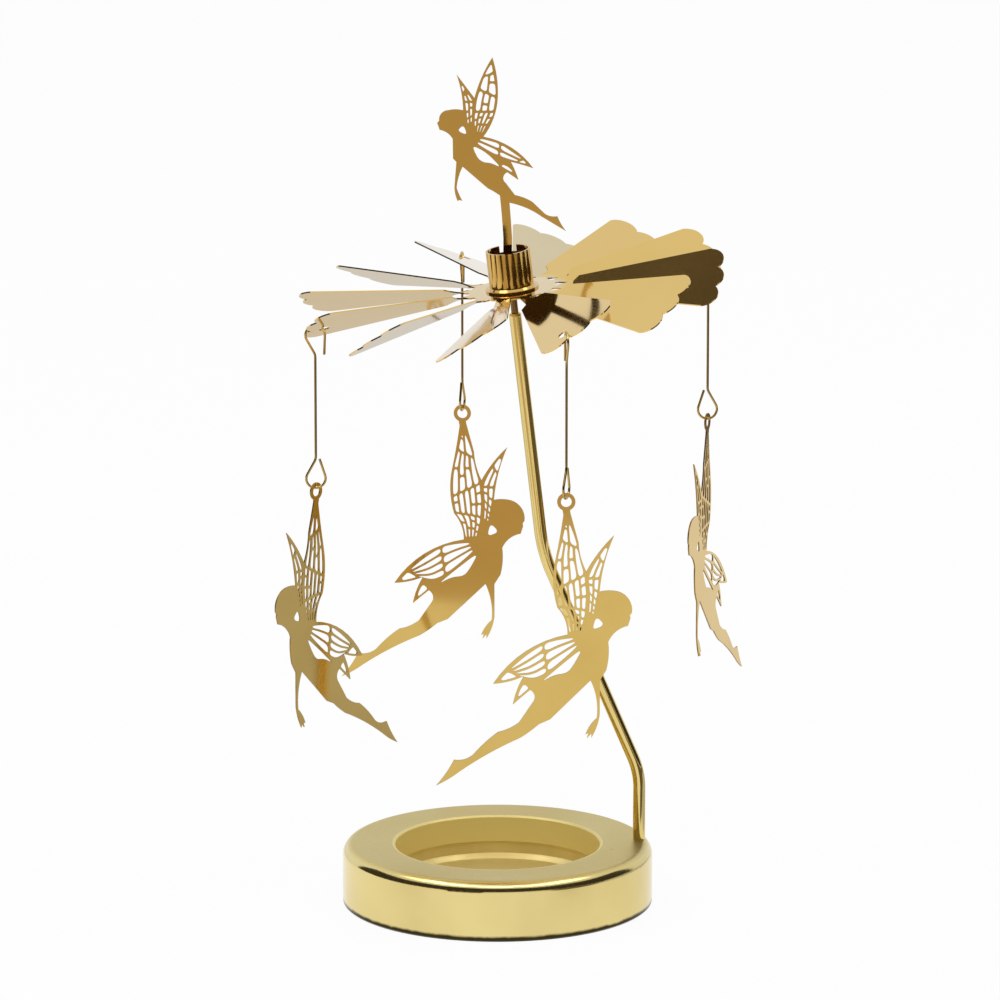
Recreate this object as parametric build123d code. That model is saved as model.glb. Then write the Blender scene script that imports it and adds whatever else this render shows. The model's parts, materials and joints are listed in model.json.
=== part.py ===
from build123d import *
import os
from math import asin, cos, hypot, radians, sin, sqrt, tan

# Candle carousel, millimetres and degrees, Z up.
# Origin at the centre of the base underside, support rod on +X.

# Base
base_radius = 32.5
base_height = 12.6
base_sheet = 0.6
edge_reach = 0.05
shoulder_radius = 2.2
opening_radius = 21.5
opening_edge = 0.35
flange_depth = 5.6
hem_width = 2.2
hem_edge = 0.35
pan_floor_top = 3.3
pan_rim_drop = 1.4
pan_corner = 1.0

# Support rod, foot bush and needle
rod_radius = 1.3
rod_foot_inset = 2.5
rod_foot_height = 1.6
lower_bend_height = 27.0
knee_height = 75.0
bend_radius = 6.0
bush_top_drop = 3.0
mast_lean = 7.0
mast_lean_azimuth = 195.5
knee_offset = 9.5
mast_length = 56.5
rod_top_drop = 5.0
rod_top_chamfer = 0.25
needle_radius = 0.75
needle_socket_depth = 6.0
needle_point_length = 2.0
needle_point_radius = 0.1
needle_play = 0.05

# Rotor sheet
rotor_sheet = 0.3
blade_count = 12
first_blade_azimuth = 11.6
blade_pitch = 27.0
disc_radius = 9.0
neck_start = 9.6
neck_end = 12.8
neck_width = 2.8
blade_root_radius = 13.8
blade_root_width = 6.0
tip_radius = 44.6
notch_depth = 1.6
notch_offset = 2.9
side_lobe_depth = 0.8
side_lobe_offset = 6.5
blade_corner_depth = 3.8
blade_corner_width = 17.6
hole_radius = 1.2
strip_width = 1.6

# Hub sleeve and bearing cup
sleeve_radius = 4.6
sleeve_wall = 0.4
sleeve_height = 8.5
sleeve_flange_radius = 5.5
sleeve_flange = 0.4
sleeve_root = 0.4
sleeve_lip_radius = 5.2
sleeve_lip = 0.3
rim_notch_width = 3.5
rim_notch_depth = 1.4
cup_underside = 3.0
cup_top = 5.2
dimple_depth = 1.2
dimple_half_angle = 50.0

# Hook wires
wire_radius = 0.26
wire_sides = 8
loop_radius = 2.0
loop_point = 4.1
shank_length = 21.9
shank_bend_radius = 1.5
hook_leg_angle = 2.0
loop_leg_angle = 18.0
hook_play = 0.25
hook_turn = -10.0

# Figures
figure_sheet = 0.3
ring_radius = 1.85
ring_hole_radius = 1.1
ring_play = 0.15
wing_rim = 0.45
wing_vein = 0.4
smallest_cell = 0.3
top_figure_yaw = -6.5
top_foot_height = 1.4

# Hook stations: name, blade number from the first, direction of the figure's head
stations = [
    ("right", 0, 245.0),
    ("back", 3, -15.0),
    ("left", 6, 225.5),
    ("front", 9, -3.0),
]

# Hanging figure seen flat, origin at the ring centre, head towards +x
# Each run starts where the last one ended: one point for a straight run, two for an arc through the first
hanging_start = (-0.4, -1.4)
hanging_runs = [
    [(-1.2, -6.8), (-2.2, -12.1)], [(-2.6, -17.2), (-1.8, -21.9)], [(-0.3, -24.3), (0.3, -27.6)],
    [(-7.5, -30.5), (-14.8, -37.6)], [(-11.8, -37.2), (-8.6, -36.1)], [(-9.9, -38.8), (-10.8, -42.0)],
    [(-9.2, -40.6), (-7.3, -39.0)], [(-6.4, -40.2), (-6.8, -41.7)], [(-9.5, -45.7)],
    [(-11.6, -47.0), (-13.8, -47.7)], [(-16.4, -49.8), (-18.9, -52.4)], [(-20.6, -53.3), (-22.8, -53.4)],
    [(-24.3, -56.0), (-26.4, -58.7)], [(-23.9, -57.4), (-21.7, -55.9)], [(-15.4, -52.0), (-9.3, -49.0)],
    [(-7.1, -47.5), (-5.5, -46.2)], [(-3.2, -45.2)], [(5.0, -37.2)], [(6.2, -41.0), (6.3, -45.1)],
    [(5.1, -46.4), (4.0, -48.5)], [(4.6, -48.2)], [(4.3, -49.3)], [(5.2, -48.3)], [(5.2, -49.2)],
    [(6.3, -46.9), (6.9, -44.4)],
    [(6.9, -37.2)], [(8.2, -35.1)], [(8.7, -31.8), (8.6, -29.2)], [(9.9, -27.3), (12.6, -25.9)],
    [(13.1, -24.3)], [(13.0, -23.7)], [(13.4, -23.1)], [(12.5, -20.0), (10.5, -18.7)],
    [(8.9, -18.5), (6.8, -18.7)], [(7.7, -13.1), (9.7, -7.1)], [(6.9, -10.2), (4.1, -14.5)],
    [(2.9, -11.2), (2.5, -8.4)], [(1.6, -5.1), (0.6, -1.4)],
]
hanging_back_gap = [(3.5, -30.3), (1.6, -33.9), (0.3, -35.6), (-2.5, -36.0), (-5.3, -37.6), (-1.0, -33.9)]
hanging_neck_gap = [(6.1, -23.8), (7.9, -25.7), (5.3, -26.8)]
# Wings of the hanging figure: one edge and the other from tip to root
hanging_wings = [
    (
        [(-0.2, -3.1), (-1.3, -8.4), (-2.2, -12), (-2.6, -17), (-1.8, -21.9), (-0.2, -24.3), (0.4, -27.6)],
        [(0.5, -3.1), (2.6, -8.4), (2.9, -11.2), (4.1, -15.1), (4.5, -19.3), (4.2, -23.5), (3.3, -27.2)],
    ),
    (
        [(9.4, -7.7), (8.0, -8.8), (5.8, -12.1), (4.1, -15.1), (4.5, -19.3), (4.3, -23.5)],
        [(9.5, -7.7), (8.6, -10.7), (7.7, -13.5), (7.1, -15.3), (6.8, -18.7), (5.8, -24.3)],
    ),
    (
        [(-14.5, -37.4), (-9.9, -32.5), (-4.5, -28.9), (0.6, -27.7), (1.5, -28.0)],
        [(-14.4, -37.9), (-8.6, -36.1), (-3.3, -35.1), (1.2, -31.6), (3.1, -29.6)],
    ),
    (
        [(-10.7, -41.7), (-9.5, -38.0), (-6.8, -36.1)],
        [(-10.6, -41.9), (-7.5, -39.2), (-5.7, -37.6)],
    ),
]
# Cells side by side in each band of each wing, from tip to root
hanging_cell_counts = [[1, 2, 2, 3, 4, 4, 4, 3], [1, 1, 2, 2, 2], [1, 2, 3, 2], [1, 1]]

# Top figure seen flat, origin at the centre of the sleeve rim, drawn upright
standing_start = (-0.9, -1.0)
standing_runs = [
    [(-0.9, 2.4)], [(-1.2, 6.4), (-1.7, 11.4)], [(-2.9, 12.2), (-4.2, 12.9)], [(-9.4, 17.4)],
    [(-10.2, 15.3), (-10.6, 12.9)], [(-10.1, 11.6), (-9.4, 10.2)], [(-9.9, 10.4)], [(-10.4, 10.2)],
    [(-11.0, 12.3), (-11.0, 14.0)], [(-10.7, 18.4)], [(-11.4, 19.1)], [(-11.5, 23.2)],
    [(-12.4, 24.3), (-14.2, 25.1)], [(-14.5, 26.0)], [(-14.7, 26.5)], [(-14.3, 27.0)],
    [(-13.7, 28.7), (-12.4, 29.2)], [(-11.0, 29.4), (-9.4, 29.2)], [(-9.7, 32.4), (-10.8, 36.7)],
    [(-9.0, 34.3), (-7.1, 31.8)], [(-5.8, 35.8), (-3.5, 40.3)], [(-2.5, 36.0), (-2.3, 32.0)],
    [(-3.0, 28.0), (-5.2, 23.7)], [(0.2, 21.7), (5.1, 17.2)], [(2.5, 18.0), (0.5, 18.5)],
    [(1.4, 16.6), (2.1, 14.7)], [(-0.2, 16.3)], [(-1.0, 15.4), (-0.5, 14.0)], [(1.4, 11.5)],
    [(3.4, 10.9), (5.0, 10.1)], [(7.6, 7.6)], [(8.8, 7.1), (10.2, 7.1)], [(10.9, 5.6), (12.0, 4.0)],
    [(7.0, 7.0)], [(3.6, 8.9), (0.3, 9.9)], [(0.6, 6.4), (0.9, 2.4)], [(0.9, -1.0)],
]
standing_back_gap = [(-7.6, 22.0), (-6.3, 19.1), (-5.1, 18.3), (-3.6, 18.2), (-1.4, 17.2), (-4.5, 20.4)]
standing_neck_gap = [(-9.3, 26.2), (-10.6, 24.9), (-8.5, 24.0)]
standing_wings = [
    (
        [(-3.4, 39.8), (-2.5, 34.8), (-2.3, 32.7), (-2.9, 28.1), (-4.0, 26.5), (-5.4, 23.8)],
        [(-3.7, 39.6), (-5.2, 37.3), (-6.1, 34.7), (-7.0, 31.6), (-7.4, 28.0), (-7.4, 24.2)],
    ),
    (
        [(-10.6, 36.2), (-9.6, 35.2), (-8.3, 33.1), (-7.1, 31.4), (-7.4, 26.6)],
        [(-10.7, 36.1), (-10.1, 33.8), (-9.6, 32.2), (-9.3, 30.3), (-8.5, 26.2)],
    ),
    (
        [(4.9, 17.5), (2.8, 19.7), (-1.5, 22.6), (-5.2, 23.7), (-6.4, 23.5)],
        [(4.8, 17.3), (0.5, 18.5), (-3.2, 19.7), (-5.6, 21.2), (-7.4, 22.4)],
    ),
    (
        [(2.0, 14.9), (0.9, 17.4), (-0.6, 18.2)],
        [(1.9, 14.8), (0.4, 16.0), (-1.4, 17.0)],
    ),
]
# Cells side by side in each band of each wing, from tip to root
standing_cell_counts = [[1, 2, 3, 3, 3, 3], [1, 1, 2, 2], [1, 2, 2, 1], [1, 1]]

# Mast frame: origin at the knee of the rod, Z up the leaning mast; the disc centre of the rotor is at its top
mast_frame = Pos(knee_offset, 0, knee_height) * Rot(0, 0, mast_lean_azimuth) * Rot(0, mast_lean, 0)
rotor_frame = mast_frame * Rot(0, 0, -mast_lean_azimuth) * Pos(0, 0, mast_length)
upright = (Align.CENTER, Align.CENTER, Align.MIN)
rod_foot_offset = base_radius - rod_foot_inset
sleeve_bore = sleeve_radius - sleeve_wall
needle_tip = cup_underside + dimple_depth - needle_play

# Ends of a blade, and the strip of sheet between its hook hole and the notch outside the hole
notch_radius = tip_radius - notch_depth
side_lobe_radius = tip_radius - side_lobe_depth
blade_corner_radius = tip_radius - blade_corner_depth
strip_centre = notch_radius - strip_width / 2
hole_position = notch_radius - strip_width - hole_radius

# How far the hook arc hangs below the strip, and the figure's ring below the lower hook
hook_drop = sqrt((loop_radius - wire_radius) ** 2 - (strip_width / 2) ** 2) - rotor_sheet / 2 - hook_play
ring_drop = ring_hole_radius - wire_radius - ring_play
loop_bottom = 2 * loop_point + shank_length + loop_radius


def blade_azimuth(number):
    """Direction of a blade round the mast."""
    return first_blade_azimuth + number * 360 / blade_count


def blade_frame(number):
    """Frame of one pitched blade: X outwards, Y towards its raised edge."""
    return rotor_frame * Rot(0, 0, blade_azimuth(number)) * Rot(blade_pitch, 0, 0)


def hook_pivot(number):
    """Centre of the hook arc of the wire that hangs from a blade."""
    strip = (blade_frame(number) * Pos(strip_centre, -notch_offset, 0)).position
    return strip - Vector(0, 0, hook_drop)


def ring_pivot(number):
    """Centre of the figure's ring on the wire that hangs from a blade."""
    return hook_pivot(number) - Vector(0, 0, loop_bottom + ring_drop)


def wire_angle(number):
    """Direction of the plane in which a hook wire is bent."""
    return blade_azimuth(number) + hook_turn


def ring_profile(points):
    """Closed face in the XZ half plane for turning round Z."""
    return make_face(Polyline(*[(x, 0, z) for x, z in points], close=True))


def rims_at(solid, height):
    """Circular edges of a turned solid at a height, smallest first."""
    rims = solid.edges().filter_by(GeomType.CIRCLE)
    return rims.filter_by_position(Axis.Z, height - edge_reach, height + edge_reach).sort_by(SortBy.RADIUS)


def make_base_shell():
    """Drawn sheet shell: outer wall, top, flange into the opening, hem under the rim, hole for the rod."""
    inner_radius = base_radius - base_sheet
    under_top = base_height - base_sheet
    flange_outer = opening_radius + base_sheet
    flange_end = base_height - flange_depth
    hem_inner = base_radius - hem_width
    section = ring_profile(
        [
            (hem_inner, 0),
            (base_radius, 0),
            (base_radius, base_height),
            (opening_radius, base_height),
            (opening_radius, flange_end),
            (flange_outer, flange_end),
            (flange_outer, under_top),
            (inner_radius, under_top),
            (inner_radius, base_sheet),
            (hem_inner, base_sheet),
        ]
    )
    shell = revolve(section, Axis.Z)
    shell = fillet(rims_at(shell, base_height)[-1], shoulder_radius)
    shell = chamfer(rims_at(shell, under_top)[-1], shoulder_radius - base_sheet)
    shell = chamfer(rims_at(shell, base_height)[0], opening_edge)
    shell = chamfer(rims_at(shell, 0)[-1], hem_edge)
    return shell - Pos(rod_foot_offset, 0, base_height) * Cylinder(rod_radius, base_height)


def make_candle_pan():
    """Pressed cup pushed over the flange of the shell; its floor carries the tealight."""
    wall_inner = opening_radius + base_sheet
    wall_outer = wall_inner + base_sheet
    floor_under = pan_floor_top - base_sheet
    rim = base_height - base_sheet - pan_rim_drop
    cup = Pos(0, 0, floor_under) * Cylinder(wall_outer, rim - floor_under, align=upright)
    cup = chamfer(rims_at(cup, floor_under)[0], pan_corner)
    hollow = Pos(0, 0, pan_floor_top) * Cylinder(wall_inner, rim - floor_under, align=upright)
    hollow = chamfer(rims_at(hollow, pan_floor_top)[0], pan_corner)
    return cup - hollow


def make_foot_bush():
    """Bush inside the shell wall that holds the foot of the rod."""
    outer = rod_foot_inset - base_sheet
    height = base_height - bush_top_drop - rod_foot_height
    place = Pos(rod_foot_offset, 0, rod_foot_height)
    tube = Cylinder(outer, height, align=upright)
    bore = Cylinder(rod_radius, height, align=upright)
    return place * (tube - bore)


def bent_path(points, radius):
    """Line through points with every bend rounded to a radius."""
    edges = []
    last = points[0]
    for before, corner, after in zip(points, points[1:], points[2:]):
        back = (before - corner).normalized()
        ahead = (after - corner).normalized()
        middle = (back + ahead).normalized()
        half = radians(back.get_angle(ahead)) / 2
        start = corner + back * (radius / tan(half))
        end = corner + ahead * (radius / tan(half))
        crown = corner + middle * (radius / sin(half) - radius)
        edges += [Line(last, start), ThreePointArc(start, crown, end)]
        last = end
    return Wire(edges + [Line(last, points[-1])])


def make_support_rod():
    """Bent round rod from the base up to just under the rotor, with a blind hole for the needle."""
    foot = Vector(rod_foot_offset, 0, rod_foot_height)
    bend = Vector(rod_foot_offset, 0, lower_bend_height)
    knee = Vector(knee_offset, 0, knee_height)
    top = (rotor_frame * Pos(0, 0, -rod_top_drop)).position
    path = bent_path([foot, bend, knee, top], bend_radius)
    rod = sweep(Pos(foot.X, foot.Y, foot.Z) * Circle(rod_radius), path=path)
    rod = chamfer(rod.edges().filter_by(GeomType.CIRCLE).sort_by(Axis.Z)[-1], rod_top_chamfer)
    socket = Cylinder(needle_radius, needle_socket_depth, align=(Align.CENTER, Align.CENTER, Align.MAX))
    return rod - rotor_frame * Pos(0, 0, -rod_top_drop) * socket


def make_needle():
    """Pin pressed into the rod top; its point carries the rotor."""
    start = -rod_top_drop - needle_socket_depth
    shoulder = needle_tip - needle_point_length
    shaft = Pos(0, 0, start) * Cylinder(needle_radius, shoulder - start, align=upright)
    point = Pos(0, 0, shoulder) * Cone(needle_radius, needle_point_radius, needle_point_length, align=upright)
    return rotor_frame * (shaft + point)


def blade_plate(with_hole):
    """One flat blade with its lobed end, in its own plane; hook blades have a hole inside a notch."""
    half_root = blade_root_width / 2
    half_corner = blade_corner_width / 2
    half_neck = neck_width / 2
    low_corner = (blade_corner_radius, -half_corner)
    high_corner = (blade_corner_radius, half_corner)
    low_notch = (notch_radius, -notch_offset)
    high_notch = (notch_radius, notch_offset)
    edges = [
        Polyline(
            high_corner,
            (blade_root_radius, half_root),
            (neck_end, half_neck),
            (neck_end, -half_neck),
            (blade_root_radius, -half_root),
            low_corner,
        ),
        ThreePointArc(low_corner, (side_lobe_radius, -side_lobe_offset), low_notch),
        ThreePointArc(low_notch, (tip_radius, 0), high_notch),
        ThreePointArc(high_notch, (side_lobe_radius, side_lobe_offset), high_corner),
    ]
    plate = extrude(make_face(edges), rotor_sheet / 2, both=True)
    if with_hole:
        plate -= Pos(hole_position, -notch_offset, 0) * Cylinder(hole_radius, 2 * rotor_sheet)
    return plate


def make_blade(with_hole):
    """Pitched blade joined to its twisted neck."""
    lift = radians(blade_pitch)
    flat_end = Plane(origin=(neck_start, 0, 0), x_dir=(0, 1, 0), z_dir=(1, 0, 0))
    pitched_end = Plane(origin=(neck_end, 0, 0), x_dir=(0, cos(lift), sin(lift)), z_dir=(1, 0, 0))
    strip = Rectangle(neck_width, rotor_sheet)
    neck = loft([flat_end * strip, pitched_end * strip])
    return neck + Rot(blade_pitch, 0, 0) * blade_plate(with_hole)


def make_rotor_wheel():
    """Pierced sheet wheel: centre disc with a tab, a twisted neck and a blade in each of its places."""
    hooked = [number for name, number, direction in stations]
    plain_blade = make_blade(False)
    hook_blade = make_blade(True)
    hub = Circle(disc_radius)
    for number in range(blade_count):
        hub += Rot(0, 0, blade_azimuth(number)) * Pos(neck_start / 2, 0) * Rectangle(neck_start, neck_width)
    wheel = extrude(hub - Circle(sleeve_radius), rotor_sheet / 2, both=True)
    for number in range(blade_count):
        blade = hook_blade if number in hooked else plain_blade
        wheel += Rot(0, 0, blade_azimuth(number)) * blade
    return rotor_frame * wheel


def make_hub_sleeve():
    """Eyelet through the disc: flange on top, lip rolled out underneath, notch at the back of the rim."""
    top_face = rotor_sheet / 2
    flange_top = top_face + sleeve_flange
    lip_under = -top_face - sleeve_lip
    section = ring_profile(
        [
            (sleeve_bore, lip_under),
            (sleeve_lip_radius, lip_under),
            (sleeve_lip_radius, -top_face),
            (sleeve_radius, -top_face),
            (sleeve_radius, top_face),
            (sleeve_flange_radius, top_face),
            (sleeve_flange_radius, flange_top),
            (sleeve_radius, flange_top),
            (sleeve_radius, sleeve_height),
            (sleeve_bore, sleeve_height),
        ]
    )
    sleeve = revolve(section, Axis.Z)
    sleeve = chamfer(rims_at(sleeve, flange_top)[0], sleeve_root)
    notch = Pos(0, sleeve_radius, sleeve_height) * Box(rim_notch_width, sleeve_radius, 2 * rim_notch_depth)
    return rotor_frame * Rot(0, 0, top_figure_yaw) * (sleeve - notch)


def make_bearing_cup():
    """Plug pressed into the sleeve, with the conical dimple that sits on the needle."""
    plug = Pos(0, 0, cup_underside) * Cylinder(sleeve_bore, cup_top - cup_underside, align=upright)
    mouth = dimple_depth * tan(radians(dimple_half_angle))
    dimple = Pos(0, 0, cup_underside) * Cone(mouth, 0, dimple_depth, align=upright)
    return rotor_frame * (plug - dimple)


def along(points, part):
    """Point at a fraction of the length of a line through points."""
    steps = [hypot(b[0] - a[0], b[1] - a[1]) for a, b in zip(points, points[1:])]
    left = part * sum(steps)
    for a, b, step in zip(points, points[1:], steps):
        if left <= step:
            return (a[0] + (b[0] - a[0]) * left / step, a[1] + (b[1] - a[1]) * left / step)
        left -= step
    return points[-1]


def cells_across(edge, other_edge, part, count):
    """Ends of the cells side by side across a wing at a fraction of its length, and their width."""
    a = along(edge, part)
    b = along(other_edge, part)
    span = hypot(b[0] - a[0], b[1] - a[1])
    width = (span - 2 * wing_rim - (count - 1) * wing_vein) / count
    ends = []
    for number in range(count):
        near = wing_rim + number * (width + wing_vein)
        shares = [near / span, (near + width) / span]
        ends.append([(a[0] + (b[0] - a[0]) * f, a[1] + (b[1] - a[1]) * f) for f in shares])
    return ends, width


def wing_cells(edge, other_edge, counts):
    """Pierced cells of one wing: bands across it from tip to root, each band divided by veins."""
    cells = []
    half_vein = wing_vein / hypot(edge[0][0] - edge[-1][0], edge[0][1] - edge[-1][1]) / 2
    for band, count in enumerate(counts):
        start = band / len(counts) + half_vein
        end = (band + 1) / len(counts) - half_vein
        last_ends, last_width = cells_across(edge, other_edge, end, count)
        first_ends, first_width = cells_across(edge, other_edge, start, count)
        while first_width < smallest_cell < last_width:
            start += half_vein
            first_ends, first_width = cells_across(edge, other_edge, start, count)
        if last_width > smallest_cell and start < end:
            for first, last in zip(first_ends, last_ends):
                cells.append(make_face(Polyline(*first, *last[::-1], close=True)))
    return cells


def figure_face(start, runs, gaps, wings, cell_counts):
    """Flat outline of a figure with its gaps and wing cells cut out."""
    edges = []
    last = start
    for run in runs:
        edges.append(Line(last, *run) if len(run) == 1 else ThreePointArc(last, *run))
        last = run[-1]
    edges.append(Line(last, start))
    face = make_face(edges)
    holes = [make_face(Polyline(*gap, close=True)) for gap in gaps]
    for (edge, other_edge), counts in zip(wings, cell_counts):
        holes += wing_cells(edge, other_edge, counts)
    return face - holes


def hanging_plate():
    """Hanging figure as a plate standing in the XZ plane, ring centre at the origin."""
    gaps = [hanging_back_gap, hanging_neck_gap]
    face = figure_face(hanging_start, hanging_runs, gaps, hanging_wings, hanging_cell_counts)
    face = face + Circle(ring_radius) - Circle(ring_hole_radius)
    return Rot(90, 0, 0) * extrude(face, figure_sheet / 2, both=True)


def make_top_figure():
    """Standing figure: one leg runs down into the sleeve and ends in a wide foot on the bearing cup."""
    gaps = [standing_back_gap, standing_neck_gap]
    face = figure_face(standing_start, standing_runs, gaps, standing_wings, standing_cell_counts)
    leg_width = 2 * abs(standing_start[0])
    drop = sleeve_height - cup_top
    leg = Pos(0, -drop / 2) * Rectangle(leg_width, drop)
    foot = Pos(0, top_foot_height / 2 - drop) * Rectangle(2 * sleeve_bore - figure_sheet, top_foot_height)
    face = Rot(0, 0, -mast_lean) * face + leg + foot
    plate = Rot(90, 0, 0) * extrude(face, figure_sheet / 2, both=True)
    return rotor_frame * Rot(0, 0, top_figure_yaw) * Pos(0, 0, sleeve_height) * plate


def free_leg(angle):
    """Ends of a hook's free leg that leans in by an angle, hook arc centred on the origin."""
    lean = radians(angle)
    start = (-loop_radius * cos(lean), -loop_radius * sin(lean))
    length = (loop_point - loop_radius * sin(lean)) / cos(lean)
    return start, (start[0] + length * sin(lean), start[1] - length * cos(lean))


def hook_wire():
    """Wire in the XZ plane: open hook above, its arc centred on the origin, and a teardrop loop below."""
    slope = asin(loop_radius / loop_point)
    side = (loop_radius * cos(slope), -loop_radius * sin(slope))
    hook_leg = free_leg(hook_leg_angle)
    lower = -2 * loop_point - shank_length

    def flipped(point):
        """Same point on the lower loop."""
        return (point[0], lower - point[1])

    loop_leg = [flipped(point) for point in free_leg(loop_leg_angle)]
    bends = [side, (0, -loop_point), (0, lower + loop_point), flipped(side)]
    path = [
        Line(hook_leg[1], hook_leg[0]),
        ThreePointArc(hook_leg[0], (0, loop_radius), side),
        FilletPolyline(*bends, radius=shank_bend_radius),
        ThreePointArc(flipped(side), flipped((0, loop_radius)), loop_leg[0]),
        Line(*loop_leg),
    ]
    wire = Wire([edge for piece in path for edge in piece.edges()])
    start = Plane(origin=wire @ 0, z_dir=wire % 0)
    section = RegularPolygon(wire_radius, wire_sides, rotation=180 / wire_sides)
    return Rot(90, 0, 0) * sweep(start * section, path=wire)


def place_at(point, angle):
    """Location at a point, turned about the vertical."""
    return Pos(point.X, point.Y, point.Z) * Rot(0, 0, angle)


os.makedirs("parts", exist_ok=True)
nodes = {
    "base_shell": make_base_shell(),
    "candle_pan": make_candle_pan(),
    "foot_bush": make_foot_bush(),
    "support_rod": make_support_rod(),
    "needle": make_needle(),
    "rotor_wheel": make_rotor_wheel(),
    "hub_sleeve": make_hub_sleeve(),
    "bearing_cup": make_bearing_cup(),
    "top_fairy": make_top_figure(),
}
plain_wire = hook_wire()
plain_figure = hanging_plate()
for name, number, direction in stations:
    nodes["hook_wire_" + name] = place_at(hook_pivot(number), wire_angle(number)) * plain_wire
    nodes["fairy_" + name] = place_at(ring_pivot(number), direction) * plain_figure
for name, shape in nodes.items():
    export_step(shape, "parts/" + name + ".step")
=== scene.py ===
import cmath
import json
import math
import bpy
import numpy
from mathutils import Matrix, Vector
from mathutils.geometry import delaunay_2d_cdt


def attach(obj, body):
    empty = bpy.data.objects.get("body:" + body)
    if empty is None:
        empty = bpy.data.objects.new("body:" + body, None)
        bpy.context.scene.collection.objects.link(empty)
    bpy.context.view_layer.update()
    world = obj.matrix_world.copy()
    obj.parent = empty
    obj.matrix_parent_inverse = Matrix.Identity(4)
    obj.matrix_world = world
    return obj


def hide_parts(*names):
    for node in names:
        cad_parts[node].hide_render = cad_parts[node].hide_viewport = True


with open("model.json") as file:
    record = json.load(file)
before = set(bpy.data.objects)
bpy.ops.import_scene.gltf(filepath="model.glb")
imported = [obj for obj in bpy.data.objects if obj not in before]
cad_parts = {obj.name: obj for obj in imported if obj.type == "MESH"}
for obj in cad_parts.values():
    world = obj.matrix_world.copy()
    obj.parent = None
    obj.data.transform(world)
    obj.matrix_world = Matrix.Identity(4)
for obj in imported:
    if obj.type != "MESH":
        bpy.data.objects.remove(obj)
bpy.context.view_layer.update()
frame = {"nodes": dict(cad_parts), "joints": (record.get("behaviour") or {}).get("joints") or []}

# Base shell
# Shallow round shell drawn from steel sheet and plated in pale gold, with a
# rounded shoulder, a turned-in flange round the candle opening and a hem below.
# The top keeps a satin grain from the press, the wall is polished by the die.
# A dark line of painted shade runs round the foot of the wall.
mm = 0.001
satin_gold = (0.605, 0.44, 0.122, 1.0)
well_tint = (0.86, 0.71, 0.27, 1.0)
# Colour of the painted shade at the foot of the wall.
foot_painted_shade = (0.04, 0.03, 0.01, 1.0)
level_range, top_satin = (0.75, 0.99), 0.26
press_grain, least_matt, grain_matt = 2400.0, 0.35, 0.7
well_radius, well_satin, well_dulling = 22.1 * mm, 0.34, 0.55
foot_shade_range, foot_shade_ripple, ripple_size = (1.6 * mm, 1.1 * mm), 0.6 * mm, 380.0


def put(tree, kind, inputs=None, **settings):
    """One node in a tree, with its settings and with a value or a link for each named input."""
    node = tree.nodes.new(kind)
    for name, value in settings.items():
        setattr(node, name, value)
    for name, value in (inputs or {}).items():
        if isinstance(value, bpy.types.NodeSocket):
            tree.links.new(value, node.inputs[name])
        else:
            node.inputs[name].default_value = value
    return node


def maths(tree, operation, a, b=0.0):
    """Output of one Math node."""
    return put(tree, "ShaderNodeMath", {0: a, 1: b}, operation=operation).outputs[0]


def noise(tree, where, size, detail=2.0):
    """Output of one Noise Texture node."""
    node = put(tree, "ShaderNodeTexNoise", {"Vector": where, "Scale": size, "Detail": detail})
    return node.outputs["Fac"]


def spread(tree, value, low, high):
    """Value stretched to run from 0 at low to 1 at high."""
    node = put(tree, "ShaderNodeMapRange", {"Value": value, "From Min": low, "From Max": high})
    return node.outputs["Result"]


def blend_colour(tree, amount, a, b):
    """Output of one colour Mix node."""
    node = put(tree, "ShaderNodeMix", data_type="RGBA")
    for name, value in (("Factor_Float", amount), ("A_Color", a), ("B_Color", b)):
        socket = next(s for s in node.inputs if s.identifier == name)
        if isinstance(value, bpy.types.NodeSocket):
            tree.links.new(value, socket)
        else:
            socket.default_value = value
    return next(s for s in node.outputs if s.identifier == "Result_Color")


# Marks that every plated piece has in its own measure: soft clouds in the
# plating, pin-prick specks, a fine grain and shallow waves of thin metal.
cloud_range, cloud_detail, wave_detail, relief_depth = (0.38, 0.68), 4.0, 1.0, 1.0 * mm
speck_range, speck_haze, speck_brown = (0.16, 0.07), 0.3, (0.16, 0.11, 0.035, 1.0)
marks = bpy.data.node_groups.new("plating_marks", "ShaderNodeTree")
for name in ("Gold", "Deep gold"):
    marks.interface.new_socket(name, in_out="INPUT", socket_type="NodeSocketColor")
for name in (
    "Cloud size", "Cloud depth", "Speck size", "Speck share", "Grain size", "Grain height",
    "Wave size", "Wave height", "Polish", "Haze",
):
    marks.interface.new_socket(name, in_out="INPUT", socket_type="NodeSocketFloat")
marks.interface.new_socket("Colour", in_out="OUTPUT", socket_type="NodeSocketColor")
marks.interface.new_socket("Roughness", in_out="OUTPUT", socket_type="NodeSocketFloat")
marks.interface.new_socket("Height", in_out="OUTPUT", socket_type="NodeSocketFloat")
given = marks.nodes.new("NodeGroupInput").outputs
where = put(marks, "ShaderNodeTexCoord").outputs["Object"]
cloud = spread(marks, noise(marks, where, given["Cloud size"], cloud_detail), *cloud_range)
cells = put(marks, "ShaderNodeTexVoronoi", {"Vector": where, "Scale": given["Speck size"]})
chosen = put(marks, "ShaderNodeSeparateColor", {"Color": cells.outputs["Color"]}).outputs["Red"]
chosen = maths(marks, "LESS_THAN", chosen, given["Speck share"])
speck = maths(marks, "MULTIPLY", spread(marks, cells.outputs["Distance"], *speck_range), chosen)
grain = noise(marks, where, given["Grain size"])
wave = noise(marks, where, given["Wave size"], wave_detail)
tone = maths(marks, "MULTIPLY", cloud, given["Cloud depth"])
tinted = blend_colour(marks, tone, given["Gold"], given["Deep gold"])
tinted = blend_colour(marks, speck, tinted, speck_brown)
rough = maths(marks, "ADD", given["Polish"], maths(marks, "MULTIPLY", cloud, given["Haze"]))
rough = maths(marks, "ADD", rough, maths(marks, "MULTIPLY", speck, speck_haze))
height = maths(marks, "MULTIPLY", grain, given["Grain height"])
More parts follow.
